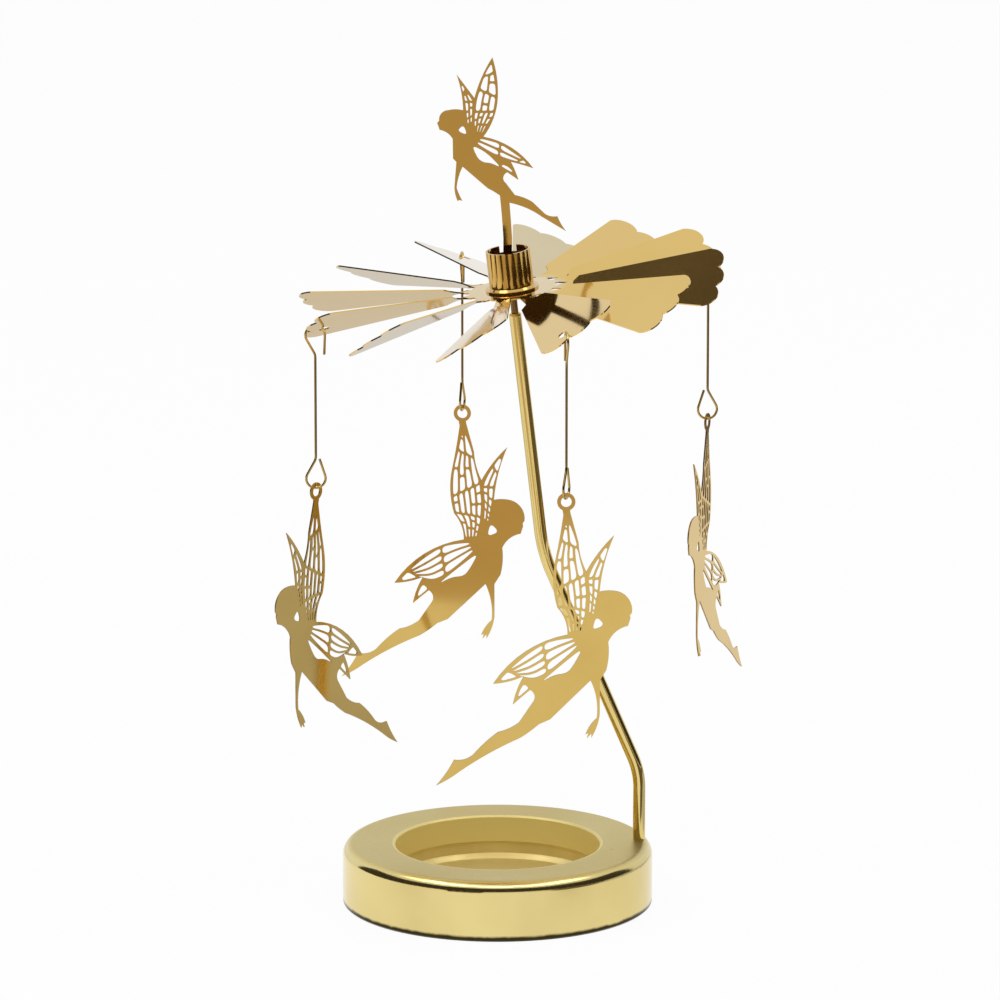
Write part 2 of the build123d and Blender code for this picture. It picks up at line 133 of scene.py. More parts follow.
height = maths(marks, "ADD", height, maths(marks, "MULTIPLY", wave, given["Wave height"]))
put(marks, "NodeGroupOutput", {"Colour": tinted, "Roughness": rough, "Height": height})


def plated(name, marks_set, bump=0.2):
    """Plated metal with its own set of marks."""
    finish = bpy.data.materials.new(name)
    finish.use_nodes = True
    tree = finish.node_tree
    shader = tree.nodes["Principled BSDF"]
    shader.inputs["Metallic"].default_value = 1.0
    group = put(tree, "ShaderNodeGroup", marks_set, node_tree=marks, name="marks")
    tree.links.new(group.outputs["Colour"], shader.inputs["Base Color"])
    tree.links.new(group.outputs["Roughness"], shader.inputs["Roughness"])
    relief = put(tree, "ShaderNodeBump", {"Height": group.outputs["Height"], "Strength": bump})
    relief.inputs["Distance"].default_value = relief_depth
    tree.links.new(relief.outputs["Normal"], shader.inputs["Normal"])
    return finish


def nodes_of(finish):
    """Node tree of a plated metal, with its shader and its marks."""
    tree = finish.node_tree
    return tree, tree.nodes["Principled BSDF"], tree.nodes["marks"]


def dress(node, finish):
    """Gives a CAD node its finish."""
    for slot in frame["nodes"][node].material_slots:
        slot.material = finish


champagne = plated("champagne_plate", {
    "Gold": (0.8, 0.655, 0.28, 1.0), "Deep gold": (0.62, 0.49, 0.185, 1.0),
    "Cloud size": 34.0, "Cloud depth": 0.6, "Speck size": 260.0, "Speck share": 0.012,
    "Grain size": 3600.0, "Grain height": 0.014, "Wave size": 60.0, "Wave height": 0.05,
    "Polish": 0.12, "Haze": 0.05,
})
tree, shader, group = nodes_of(champagne)
facing = put(tree, "ShaderNodeNewGeometry").outputs["Normal"]
upward = put(tree, "ShaderNodeSeparateXYZ", {"Vector": facing}).outputs["Z"]
where = put(tree, "ShaderNodeTexCoord").outputs["Object"]
place = put(tree, "ShaderNodeSeparateXYZ", {"Vector": where}).outputs
square = maths(tree, "ADD", maths(tree, "POWER", place["X"], 2.0), maths(tree, "POWER", place["Y"], 2.0))
in_well = maths(tree, "LESS_THAN", square, well_radius ** 2)
on_top = spread(tree, upward, *level_range)
satin = maths(tree, "MULTIPLY", on_top, top_satin)
satin = maths(tree, "MAXIMUM", satin, maths(tree, "MULTIPLY", in_well, well_satin))
tree.links.new(maths(tree, "ADD", group.outputs["Roughness"], satin), shader.inputs["Roughness"])
metal_share = maths(tree, "SUBTRACT", 1.0, maths(tree, "MULTIPLY", in_well, well_dulling))
tree.links.new(metal_share, shader.inputs["Metallic"])
matt = maths(tree, "MULTIPLY", noise(tree, where, press_grain, detail=3.0), grain_matt)
matt = maths(tree, "MULTIPLY", on_top, maths(tree, "ADD", least_matt, matt))
tint = blend_colour(tree, matt, group.outputs["Colour"], satin_gold)
tint = blend_colour(tree, in_well, tint, well_tint)
# Painted shade: the wall darkens to near black towards its foot, below a wavy edge.
ripple = maths(tree, "MULTIPLY", noise(tree, where, ripple_size), foot_shade_ripple)
foot_shade_mask = spread(tree, maths(tree, "ADD", place["Z"], ripple), *foot_shade_range)
tint = blend_colour(tree, foot_shade_mask, tint, foot_painted_shade)
tree.links.new(tint, shader.inputs["Base Color"])
dress("base_shell", champagne)

# Candle pan
# Pressed cup pushed over the flange from below; its floor carries the tealight.
# Same plating, thinner and duller in the well, with faint rings from spinning.
well_metal, ring_size, ring_haze = 0.5, 260.0, 0.06
well_gold = plated("well_gold", {
    "Gold": (0.82, 0.67, 0.28, 1.0), "Deep gold": (0.66, 0.52, 0.19, 1.0),
    "Cloud size": 90.0, "Cloud depth": 0.5, "Speck size": 420.0, "Speck share": 0.01,
    "Grain size": 4200.0, "Grain height": 0.01, "Wave size": 80.0, "Wave height": 0.04,
    "Polish": 0.34, "Haze": 0.08,
}, bump=0.15)
tree, shader, group = nodes_of(well_gold)
shader.inputs["Metallic"].default_value = well_metal
where = put(tree, "ShaderNodeTexCoord").outputs["Object"]
rings = {"Vector": where, "Scale": ring_size, "Distortion": 0.4, "Detail": 1.0}
rings = put(tree, "ShaderNodeTexWave", rings, wave_type="RINGS", rings_direction="Z").outputs["Fac"]
rings = maths(tree, "ADD", group.outputs["Roughness"], maths(tree, "MULTIPLY", rings, ring_haze))
tree.links.new(rings, shader.inputs["Roughness"])
dress("candle_pan", well_gold)

# Foot bush
# Short turned bush inside the shell wall that grips the foot of the rod.
# Left in the raw plating, out of sight under the shoulder.
bush_gold = plated("bush_gold", {
    "Gold": (0.6, 0.47, 0.18, 1.0), "Deep gold": (0.42, 0.32, 0.11, 1.0),
    "Cloud size": 300.0, "Cloud depth": 0.5, "Speck size": 900.0, "Speck share": 0.02,
    "Grain size": 6000.0, "Grain height": 0.01, "Wave size": 400.0, "Wave height": 0.01,
    "Polish": 0.3, "Haze": 0.08,
})
dress("foot_bush", bush_gold)

# Support rod
# Round steel rod, bent cold at two places and polished before plating, with a
# chamfered top. Its foot stands in the bush inside the shell.
rod_radius, rod_sides, chamfer_share = 1.3, 10, 0.8
foot_place, lower_bend, knee = Vector((30.0, 0, 1.6)), Vector((30.0, 0, 27.0)), Vector((9.5, 0, 75.0))
lower_reach, knee_reach, top_rings = 3.5, 5.0, (1.2, 0.6, 0.25, 0.0)
needle_seat, rod_drop = 4.15, 5.0


def joint_place(name):
    """Centre and axis of a joint of the frame."""
    joint = next(j for j in frame["joints"] if j["name"] == name)
    return Vector(joint["pos_m"]), Vector(joint["axis"])


def bend(before, corner, after, reach, steps=10):
    """Points of a smooth bend at a corner."""
    a = corner + (before - corner).normalized() * reach
    c = corner + (after - corner).normalized() * reach
    shares = [k / steps for k in range(steps + 1)]
    return [a * (1 - t) ** 2 + 2 * corner * t * (1 - t) + c * t * t for t in shares]


def tube(name, line, radius, finish, end_share=1.0, sides=4):
    """Mesh of a round bar along a line of points in millimetres; its last point may be thinner."""
    curve = bpy.data.curves.new(name, "CURVE")
    curve.dimensions = "3D"
    curve.bevel_depth = radius * mm
    curve.bevel_resolution = sides
    curve.use_fill_caps = True
    spline = curve.splines.new("POLY")
    spline.points.add(len(line) - 1)
    for place, point in zip(spline.points, line):
        place.co = (*(point * mm), 1.0)
    spline.points[-1].radius = end_share
    mesh = bpy.data.meshes.new_from_object(bpy.data.objects.new(name + "_line", curve))
    mesh.polygons.foreach_set("use_smooth", [len(face.vertices) == 4 for face in mesh.polygons])
    mesh.materials.clear()
    mesh.materials.append(finish)
    return mesh


def add_piece(name, mesh, place):
    """New piece with its mesh, set at its place."""
    piece = bpy.data.objects.new(name, mesh)
    bpy.context.scene.collection.objects.link(piece)
    piece.matrix_world = place
    return piece


tip, mast = joint_place("rotor_spin")
rod_top = tip / mm - mast * (needle_seat + rod_drop)
rod_line = [foot_place] + bend(foot_place, lower_bend, knee, lower_reach)
rod_line += bend(lower_bend, knee, rod_top, knee_reach)
rod_line += [rod_top - mast * drop for drop in top_rings]
rod_gold = plated("rod_gold", {
    "Gold": (0.78, 0.61, 0.235, 1.0), "Deep gold": (0.64, 0.48, 0.15, 1.0),
    "Cloud size": 60.0, "Cloud depth": 0.4, "Speck size": 700.0, "Speck share": 0.006,
    "Grain size": 3000.0, "Grain height": 0.0004, "Wave size": 160.0, "Wave height": 0.004,
    "Polish": 0.07, "Haze": 0.05,
})
rod_mesh = tube("bent_rod", rod_line, rod_radius, rod_gold, chamfer_share, rod_sides)
piece = add_piece("bent_rod", rod_mesh, Matrix.Identity(4))
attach(piece, "stand")
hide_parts("support_rod")

# Needle
# Hard steel pin pressed into the rod, ground to a point that carries the wheel.
# Bare metal, coloured dark brown.
pin_steel = plated("pin_steel", {
    "Gold": (0.26, 0.15, 0.055, 1.0), "Deep gold": (0.12, 0.065, 0.025, 1.0),
    "Cloud size": 500.0, "Cloud depth": 0.6, "Speck size": 1500.0, "Speck share": 0.01,
    "Grain size": 9000.0, "Grain height": 0.006, "Wave size": 900.0, "Wave height": 0.004,
    "Polish": 0.22, "Haze": 0.1,
})
dress("needle", pin_steel)

# Rotor wheel
# One stamping of thin sheet: a disc, a twisted neck for each blade and a pitched
# blade with a lobed end. Mirror plated under a thin clear lacquer.
lacquer, lacquer_haze = 0.4, 0.04
mirror_gold = plated("mirror_gold", {
    "Gold": (0.8, 0.54, 0.165, 1.0), "Deep gold": (0.72, 0.46, 0.125, 1.0),
    "Cloud size": 45.0, "Cloud depth": 0.3, "Speck size": 340.0, "Speck share": 0.006,
    "Grain size": 2600.0, "Grain height": 0.003, "Wave size": 55.0, "Wave height": 0.1,
    "Polish": 0.05, "Haze": 0.05,
})
shader = nodes_of(mirror_gold)[1]
shader.inputs["Coat Weight"].default_value = lacquer
shader.inputs["Coat Roughness"].default_value = lacquer_haze
dress("rotor_wheel", mirror_gold)

# Hub sleeve
# Tall eyelet clinched through the disc, with a flange on top and a lip rolled
# out underneath. Its drawn wall shows faint flutes and mirrors the blades.
hub_gold = plated("hub_gold", {
    "Gold": (0.7, 0.45, 0.13, 1.0), "Deep gold": (0.56, 0.33, 0.08, 1.0),
    "Cloud size": 220.0, "Cloud depth": 0.5, "Speck size": 1200.0, "Speck share": 0.01,
    "Grain size": 5000.0, "Grain height": 0.002, "Wave size": 420.0, "Wave height": 0.03,
    "Polish": 0.09, "Haze": 0.05,
})
dress("hub_sleeve", hub_gold)

# Bearing cup
# Plug pressed into the sleeve, with the dimple that sits on the needle's point.
# Same metal as the sleeve, left duller by turning.
cup_gold = plated("cup_gold", {
    "Gold": (0.62, 0.44, 0.15, 1.0), "Deep gold": (0.44, 0.29, 0.08, 1.0),
    "Cloud size": 500.0, "Cloud depth": 0.5, "Speck size": 1500.0, "Speck share": 0.01,
    "Grain size": 7000.0, "Grain height": 0.006, "Wave size": 700.0, "Wave height": 0.01,
    "Polish": 0.25, "Haze": 0.08,
})
dress("bearing_cup", cup_gold)

# Hook wires
# Springy round wire, cut and bent cold: an open hook that hangs in a hole of the
# wheel, a straight shank that turns darker brown towards its middle, and a loop
# closed to a teardrop that carries a figure. The loops of the back and front
# wires are turned a little.
wire_radius, loop_radius, loop_point, shank_length = 0.26, 2.0, 4.1, 21.9
hook_lean, loop_lean, bend_reach = math.radians(2), math.radians(18), 0.6
stations = ("right", "back", "left", "front")
loop_twists = (0, -22, 0, -26)
shank_brown, shank_share, shank_range = (0.16, 0.1, 0.035, 1.0), 0.8, (12.5 * mm, 9.5 * mm)
lower = -2 * loop_point - shank_length


def turn(degrees, axis):
    """Rotation matrix about an axis through the origin."""
    return Matrix.Rotation(math.radians(degrees), 4, axis)


def hook(lean, steps=24):
    """Centre line of a hook in the XZ plane, from the tip of its free leg round its arc."""
    first, last = math.pi + lean, -math.asin(loop_radius / loop_point)
    turns = [first + (last - first) * k / steps for k in range(steps + 1)]
    arc = [loop_radius * cmath.exp(1j * angle) for angle in turns]
    length = (loop_point - loop_radius * math.sin(lean)) / math.cos(lean)
    line = [arc[0] + length * complex(math.sin(lean), -math.cos(lean))] + arc
    return [Vector((point.real, 0, point.imag)) for point in line]


upper_hook = hook(hook_lean)
lower_loop = [Vector((point.x, 0, lower - point.z)) for point in hook(loop_lean)][::-1]
neck, heel = Vector((0, 0, -loop_point)), Vector((0, 0, lower + loop_point))


def wire_line(twist):
    """Centre line of a wire, with its loop turned about the shank."""
    loop = [turn(twist, "Z") @ point for point in lower_loop]
    line = upper_hook + bend(upper_hook[-1], neck, heel, bend_reach)
    return line + bend(neck, heel, loop[0], bend_reach) + loop


wire_gold = plated("wire_gold", {
    "Gold": (0.62, 0.44, 0.14, 1.0), "Deep gold": (0.4, 0.26, 0.07, 1.0),
    "Cloud size": 160.0, "Cloud depth": 0.6, "Speck size": 1600.0, "Speck share": 0.01,
    "Grain size": 7000.0, "Grain height": 0.004, "Wave size": 900.0, "Wave height": 0.006,
    "Polish": 0.12, "Haze": 0.08,
})
tree, shader, group = nodes_of(wire_gold)
where = put(tree, "ShaderNodeTexCoord").outputs["Object"]
height = put(tree, "ShaderNodeSeparateXYZ", {"Vector": where}).outputs["Z"]
# Colour turns darker brown towards the middle of the shank.
middle = maths(tree, "ABSOLUTE", maths(tree, "ADD", height, -lower / 2 * mm))
shank_darkening = maths(tree, "MULTIPLY", spread(tree, middle, *shank_range), shank_share)
tint = blend_colour(tree, shank_darkening, group.outputs["Colour"], shank_brown)
tree.links.new(tint, shader.inputs["Base Color"])
for station, twist in zip(stations, loop_twists):
    centre, axis = joint_place("wire_swing_" + station)
    heading = Matrix.Rotation(math.atan2(axis.x, -axis.y), 4, "Z")
    name = "bent_wire_" + station
    wire_mesh = tube(name, wire_line(twist), wire_radius, wire_gold)
    piece = add_piece(name, wire_mesh, Matrix.Translation(centre) @ heading)
    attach(piece, "wire_" + station)
    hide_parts("hook_wire_" + station)

# Hanging figures
# Flat winged figures etched out of the same thin mirror sheet as the wheel, each
# hung by a ring at the tip of its upper wing. The wings are pierced with rounded
# cells between veins; the etched edges are duller and browner than the faces.
sheet, wing_rim, wing_vein, least_cell = 0.3, 0.42, 0.44, 0.2
ring_radius, ring_hole, ring_start, ring_end = 1.85, 1.1, -66.0, 254.0
corner_cuts, row_stagger, merge_within, sharp_angle = (0.22, 0.78), 0.2, 1e-6, math.radians(35)
hanging_start = (-0.4, -1.4)
hanging_runs = [
    [(-1.2, -6.8), (-2.2, -12.1)], [(-2.6, -17.2), (-1.8, -21.9)], [(-0.3, -24.3), (0.3, -27.6)],
    [(-7.5, -30.5), (-14.8, -37.6)], [(-11.8, -37.2), (-8.6, -36.1)], [(-9.9, -38.8), (-10.8, -42.0)],
    [(-9.2, -40.6), (-7.3, -39.0)], [(-6.4, -40.2), (-6.8, -41.7)], [(-9.5, -45.7)],
    [(-11.6, -47.0), (-13.8, -47.7)], [(-16.4, -49.8), (-18.9, -52.4)], [(-20.6, -53.3), (-22.8, -53.4)],
    [(-24.3, -56.0), (-26.4, -58.7)], [(-23.9, -57.4), (-21.7, -55.9)], [(-15.4, -52.0), (-9.3, -49.0)],
    [(-7.1, -47.5), (-5.5, -46.2)], [(-3.2, -45.2)], [(5.0, -37.2)], [(6.2, -41.0), (6.3, -45.1)],
    [(5.1, -46.4), (4.0, -48.5)], [(4.6, -48.2)], [(4.3, -49.3)], [(5.2, -48.3)], [(5.2, -49.2)],
    [(6.3, -46.9), (6.9, -44.4)],
    [(6.9, -37.2)], [(8.2, -35.1)], [(8.7, -31.8), (8.6, -29.2)], [(9.9, -27.3), (12.6, -25.9)],
    [(13.1, -24.3)], [(13.0, -23.7)], [(13.4, -23.1)], [(12.5, -20.0), (10.5, -18.7)],
    [(8.9, -18.5), (6.8, -18.7)], [(7.7, -13.1), (9.7, -7.1)], [(6.9, -10.2), (4.1, -14.5)],
    [(2.9, -11.2), (2.5, -8.4)], [(1.6, -5.1), (0.6, -1.4)],
]
hanging_gaps = [
    [(3.5, -30.3), (1.6, -33.9), (0.3, -35.6), (-2.5, -36.0), (-5.3, -37.6), (-1.0, -33.9)],
    [(6.1, -23.8), (7.9, -25.7), (5.3, -26.8)],
]
# Each wing: its two edges from tip to root, the bounds of its zones with their
# slant, and the number of cells in each lane of a zone.
hanging_wings = [
    (
        [(-0.2, -3.1), (-1.3, -8.4), (-2.2, -12), (-2.6, -17), (-1.8, -21.9), (-0.2, -24.3), (0.4, -27.6)],
        [(0.5, -3.1), (2.6, -8.4), (2.9, -11.2), (4.1, -15.1), (4.5, -19.3), (4.2, -23.5), (3.3, -27.2)],
        [(0.02, 0), (0.24, 0.08), (0.56, -0.1), (0.78, 0.06), (0.99, 0)],
        [[2, 1], [2, 2, 2, 1], [2, 1, 1, 2, 3], [2, 2, 3, 3]],
    ),
    (
        [(9.4, -7.7), (8.0, -8.8), (5.8, -12.1), (4.1, -15.1), (4.5, -19.3), (4.3, -23.5)],
        [(9.5, -7.7), (8.6, -10.7), (7.7, -13.5), (7.1, -15.3), (6.8, -18.7), (5.8, -24.3)],
        [(0.13, 0), (0.3, 0.05), (0.54, -0.05), (0.76, 0.05), (0.97, 0)],
        [[1], [1, 1], [2, 2], [2, 3]],
    ),
    (
        [(-14.5, -37.4), (-9.9, -32.5), (-4.5, -28.9), (0.6, -27.7), (2.2, -28.2)],
        [(-14.4, -37.9), (-11.5, -37.1), (-8.6, -36.3), (-5.6, -37.3), (-1.0, -33.7), (3.2, -29.8)],
        [(0.07, 0), (0.22, 0.06), (0.6, -0.08), (0.96, 0)],
        [[1], [1, 1, 1, 1], [1, 1, 1]],
    ),
    (
        [(-10.7, -41.7), (-9.6, -38.6), (-8.3, -36.6)],
        [(-10.6, -41.9), (-7.5, -39.2), (-6.5, -38.2)],
        [(0.3, 0), (0.86, 0)],
        [[1]],
    ),
]


def arc_through(a, b, c, steps=8):
    """Points after a on the arc from a through b to c."""
    ratio = (c - a) / (b - a)
    centre = a + (b - a) * (ratio - abs(ratio) ** 2) / (2j * ratio.imag)
    sweep = cmath.phase((b - centre) / (a - centre)) + cmath.phase((c - centre) / (b - centre))
    return [centre + (a - centre) * cmath.exp(1j * sweep * k / steps) for k in range(1, steps + 1)]


def outline(start, runs):
    """Outline as complex numbers: each run is a line to one point or an arc through two."""
    points = [complex(*start)]
    for run in runs:
        run = [complex(*point) for point in run]
        points += run if len(run) == 1 else arc_through(points[-1], *run)
    return points


def circle(radius, start=0.0, end=360.0, steps=36):
    """Points along a circle about the origin."""
    return [radius * cmath.exp(1j * math.radians(start + (end - start) * k / steps)) for k in range(steps)]


def rounded(corners, cuts=2):
    """Closed outline with its corners cut back to curves."""
    for _ in range(cuts):
        pairs = list(zip(corners, corners[1:] + corners[:1]))
        corners = [a + (b - a) * share for a, b in pairs for share in corner_cuts]
    return corners


def along(points, part):
    """Point at a fraction of the length of a line through points."""
    points = [complex(*point) for point in points]
    steps = [abs(b - a) for a, b in zip(points, points[1:])]
    left = part * sum(steps)
    for a, b, step in zip(points, points[1:], steps):
        if left <= step:
            return a + (b - a) * left / step
        left -= step
    return points[-1]


def wing_cells(edge, other_edge, bounds, rows_of_zones):
    """Rounded cells of a wing: lanes side by side between slanting bounds, each cut into its rows."""
    half_vein = wing_vein / abs(complex(*edge[0]) - complex(*edge[-1])) / 2
    cells = []

    def across(part, lane, lanes):
        """Near and far end of a lane at a fraction of the wing, and its width there."""
        a, b = along(edge, part), along(other_edge, part)
        span = abs(b - a)
        width = (span - 2 * wing_rim - (lanes - 1) * wing_vein) / lanes
        near = wing_rim + lane * (width + wing_vein)
        return a + (b - a) * near / span, a + (b - a) * (near + width) / span, width

    def cell_side(side, lane, lanes, start, end, cuts):
        """Points along the near or the far side of a cell, from the tip towards the root."""
        slant = (lane + side) / lanes - 0.5
        first, last = start[0] + start[1] * slant, end[0] + end[1] * slant
        low = first + (last - first) * cuts[0] + half_vein
        high = first + (last - first) * cuts[1] - half_vein
        while low < high and across(low, lane, lanes)[2] < least_cell:
            low += half_vein
        stops = [across(low + (high - low) * k / 2, lane, lanes) for k in range(3)]
        whole = high - low > half_vein and min(stop[2] for stop in stops) > 0
        return [stop[side] for stop in stops] if whole else []

    for start, end, rows_of_lane in zip(bounds, bounds[1:], rows_of_zones):
        lanes = len(rows_of_lane)
        for lane, rows in enumerate(rows_of_lane):
            stagger = row_stagger * (lane % 2 * 2 - 1)
            cuts = [0.0] + [(row + stagger) / rows for row in range(1, rows)] + [1.0]
            for pair in zip(cuts, cuts[1:]):
                near, far = [cell_side(side, lane, lanes, start, end, pair) for side in (0, 1)]
                if near and far:
                    cells.append(rounded(near + far[::-1]))
    return cells


def stamping(name, outlines):
    """Mesh of a flat sheet in the XY plane; the first outline is its rim and the rest are holes."""
    starts, ends, edges = [], [], []
    for points in outlines:
        edges += [(len(starts) + k, len(starts) + (k + 1) % len(points)) for k in range(len(points))]
        starts += points
        ends += points[1:] + points[:1]
    starts, ends = numpy.array(starts), numpy.array(ends)
    flat = [Vector((point.real, point.imag)) for point in starts]
    corners, _, triangles = delaunay_2d_cdt(flat, edges, [], 0, merge_within)[:3]
    rising = ends.imag > starts.imag

    def in_metal(triangle):
        """Whether a level ray from the middle of a triangle crosses the outlines an odd number of times."""
        middle = sum(complex(*corners[k]) for k in triangle) / 3
        level = (starts.imag > middle.imag) != (ends.imag > middle.imag)
        side = ((ends - starts).conjugate() * (middle - starts)).imag > 0
        return (level & (side == rising)).sum() % 2 == 1

    lower_faces = [triangle for triangle in triangles if in_metal(triangle)]
    sides = {(a, b) for face in lower_faces for a, b in zip(face, face[1:] + face[:1])}
    sides = [(a, b) for a, b in sides if (b, a) not in sides]
    many = len(corners)
    places = [(corner.x * mm, corner.y * mm, z * mm) for z in (-sheet / 2, sheet / 2) for corner in corners]
    faces = [face[::-1] for face in lower_faces] + [[k + many for k in face] for face in lower_faces]
    walls = [(a, b, b + many, a + many) for a, b in sorted(sides)]
    mesh = bpy.data.meshes.new(name)
    mesh.from_pydata(places, [], faces + walls)
    mesh.polygons.foreach_set("material_index", [0] * len(faces) + [1] * len(walls))
    mesh.polygons.foreach_set("use_smooth", [True] * len(mesh.polygons))
    mesh.set_sharp_from_angle(angle=sharp_angle)
    mesh.materials.append(figure_gold)
    mesh.materials.append(etched_edge)
    return mesh


figure_gold = plated("figure_gold", {
    "Gold": (0.66, 0.455, 0.135, 1.0), "Deep gold": (0.58, 0.385, 0.1, 1.0),
    "Cloud size": 60.0, "Cloud depth": 0.35, "Speck size": 420.0, "Speck share": 0.006,
    "Grain size": 2600.0, "Grain height": 0.003, "Wave size": 60.0, "Wave height": 0.06,
    "Polish": 0.06, "Haze": 0.05,
})
etched_edge = plated("etched_edge", {
    "Gold": (0.4, 0.26, 0.08, 1.0), "Deep gold": (0.22, 0.13, 0.04, 1.0),
    "Cloud size": 400.0, "Cloud depth": 0.7, "Speck size": 2500.0, "Speck share": 0.02,
    "Grain size": 9000.0, "Grain height": 0.02, "Wave size": 700.0, "Wave height": 0.01,
    "Polish": 0.32, "Haze": 0.1,
})
rim = [point for point in outline(hanging_start, hanging_runs) if abs(point) > ring_radius]
rim += circle(ring_radius, ring_start, ring_end)
holes = [circle(ring_hole)]
holes += [rounded([complex(*corner) for corner in gap]) for gap in hanging_gaps]
for wing in hanging_wings:
    holes += wing_cells(*wing)
hanging_mesh = stamping("hanging_figure", [rim] + holes)
for station in stations:
    centre, axis = joint_place("figure_swing_" + station)
    heading = Matrix.Rotation(math.atan2(-axis.x, axis.y), 4, "Z")
    place = Matrix.Translation(centre) @ heading @ turn(90, "X")
    piece = add_piece("hanging_figure_" + station, hanging_mesh.copy(), place)
    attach(piece, "figure_" + station)
    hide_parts("fairy_" + station)

# Top figure
# Smaller standing figure of the same sheet; one leg runs down into the sleeve and
# ends in a wide foot that rests on the bearing cup.
mast_lean, top_yaw, sleeve_height = 7.0, -6.5, 8.5
foot_half, foot_top, foot_bottom, leg_half = 4.05, -1.9, -3.3, 0.9
standing_start = (-0.9, -1.0)
standing_runs = [
    [(-0.9, 2.4)], [(-1.2, 6.4), (-1.7, 11.4)], [(-2.9, 12.2), (-4.2, 12.9)], [(-9.4, 17.4)],
    [(-10.2, 15.3), (-10.6, 12.9)], [(-10.1, 11.6), (-9.4, 10.2)], [(-9.9, 10.4)], [(-10.4, 10.2)],
    [(-11.0, 12.3), (-11.0, 14.0)], [(-10.7, 18.4)], [(-11.4, 19.1)], [(-11.5, 23.2)],
    [(-12.4, 24.3), (-14.2, 25.1)], [(-14.5, 26.0)], [(-14.7, 26.5)], [(-14.3, 27.0)],
    [(-13.7, 28.7), (-12.4, 29.2)], [(-11.0, 29.4), (-9.4, 29.2)], [(-9.7, 32.4), (-10.8, 36.7)],
    [(-9.0, 34.3), (-7.1, 31.8)], [(-5.8, 35.8), (-3.5, 40.3)], [(-2.5, 36.0), (-2.3, 32.0)],
    [(-3.0, 28.0), (-5.2, 23.7)], [(0.2, 21.7), (5.1, 17.2)], [(2.5, 18.0), (0.5, 18.5)],
    [(1.4, 16.6), (2.1, 14.7)], [(-0.2, 16.3)], [(-1.0, 15.4), (-0.5, 14.0)], [(1.4, 11.5)],
    [(3.4, 10.9), (5.0, 10.1)], [(7.6, 7.6)], [(8.8, 7.1), (10.2, 7.1)], [(10.9, 5.6), (12.0, 4.0)],
    [(7.0, 7.0)], [(3.6, 8.9), (0.3, 9.9)], [(0.6, 6.4), (0.9, 2.4)], [(0.9, -1.0)],
]
standing_gaps = [
    [(-7.6, 22.0), (-6.3, 19.1), (-5.1, 18.3), (-3.6, 18.2), (-1.4, 17.2), (-4.5, 20.4)],
    [(-9.3, 26.2), (-10.6, 24.9), (-8.5, 24.0)],
]
standing_wings = [
    (
        [(-3.4, 39.8), (-2.5, 34.8), (-2.3, 32.7), (-2.9, 28.1), (-4.0, 26.5), (-5.4, 23.8)],
        [(-3.7, 39.6), (-5.2, 37.3), (-6.1, 34.7), (-7.0, 31.6), (-7.4, 28.0), (-7.4, 24.2)],
        [(0.05, 0), (0.2, 0.06), (0.44, -0.06), (0.68, 0.05), (0.97, 0)],
        [[1], [2, 1], [1, 2, 1], [3, 2, 3, 3]],
    ),
    (
        [(-10.6, 36.2), (-9.6, 35.2), (-8.3, 33.1), (-7.1, 31.4), (-7.2, 28.0), (-7.2, 24.2)],
        [(-10.7, 36.1), (-10.1, 33.8), (-9.6, 32.2), (-9.3, 30.3), (-8.9, 26.8), (-8.3, 24.2)],
        [(0.1, 0), (0.27, 0.04), (0.46, -0.04), (0.72, 0.04), (0.97, 0)],
        [[1], [1, 1], [2, 2], [2, 3]],
    ),
    (
        [(4.9, 17.5), (2.8, 19.7), (-1.5, 22.6), (-5.2, 23.7), (-6.4, 23.5)],
        [(4.8, 17.3), (0.5, 18.5), (-3.2, 19.7), (-5.6, 21.2), (-7.4, 22.4)],
        [(0.07, 0), (0.22, 0.05), (0.58, -0.08), (0.95, 0)],
        [[1], [1, 1], [1, 1]],
    ),
    (
        [(2.0, 14.9), (0.9, 17.4), (-0.6, 18.2), (-1.8, 18.4)],
        [(1.9, 14.8), (0.4, 16.0), (-1.4, 17.0), (-2.4, 17.7)],
        [(0.2, 0), (0.88, 0)],
        [[1]],
    ),
]
upright = cmath.exp(-1j * math.radians(mast_lean))
leg = [(leg_half, foot_top), (foot_half, foot_top), (foot_half, foot_bottom)]
leg = [complex(*point) for point in leg]
rim = [point * upright for point in outline(standing_start, standing_runs)]
rim += leg + [complex(-point.real, point.imag) for point in leg[::-1]]
holes = [rounded([complex(*corner) for corner in gap]) for gap in standing_gaps]
for wing in standing_wings:
    holes += wing_cells(*wing)
holes = [[point * upright for point in hole] for hole in holes]
lean = Vector((0, 0, 1)).rotation_difference(mast).to_matrix().to_4x4()
rim_centre = tip + mast * (sleeve_height - needle_seat) * mm
place = Matrix.Translation(rim_centre) @ lean @ turn(top_yaw, "Z") @ turn(90, "X")
piece = add_piece("top_figure", stamping("top_figure", [rim] + holes), place)
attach(piece, "rotor")
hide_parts("top_fairy")

# Studio
# White paper table in a room whose ceiling and back wall are white. The other
# walls are dark, and the polished shoulder, rod and sleeve mirror them as dark
# lines. The walls and the cards on the table are seen only in the metal.
table_half, table_white, table_matt, paper_cloud = 3.0, 0.94, 0.6, 30.0
paper_white, paper_grey = (0.93, 0.93, 0.93, 1.0), (0.90, 0.90, 0.90, 1.0)
cloth_matt, cloth_cloud = 0.9, 3.0
wall_turns, wall_reach, wall_top = (-130, -90, -50, -10, 30, 70, 110), 2.6, 1.9
card_lift, card_height = 0.001, 1.23
cloth_wedge = [(0.035, -0.06), (0.45, -0.85), (1.1, -0.05), (0.07, -0.05)]
window_left, window_right, window_sill, window_top, window_away = -0.2, 1.7, 0.82, 1.5, 2.4
window_blue, window_pale, window_haze = (0.72, 0.84, 1.04, 1.0), (0.78, 0.88, 1.04, 1.0), 2.0
room_white, room_light, mirrored_light = (0.97, 1.0, 1.03, 1.0), 0.6, 0.3
lamp_turns, lamp_reach, lamp_height, lamp_power = (-100, -55, -10, 35, 80), 0.7, 1.2, 1.5
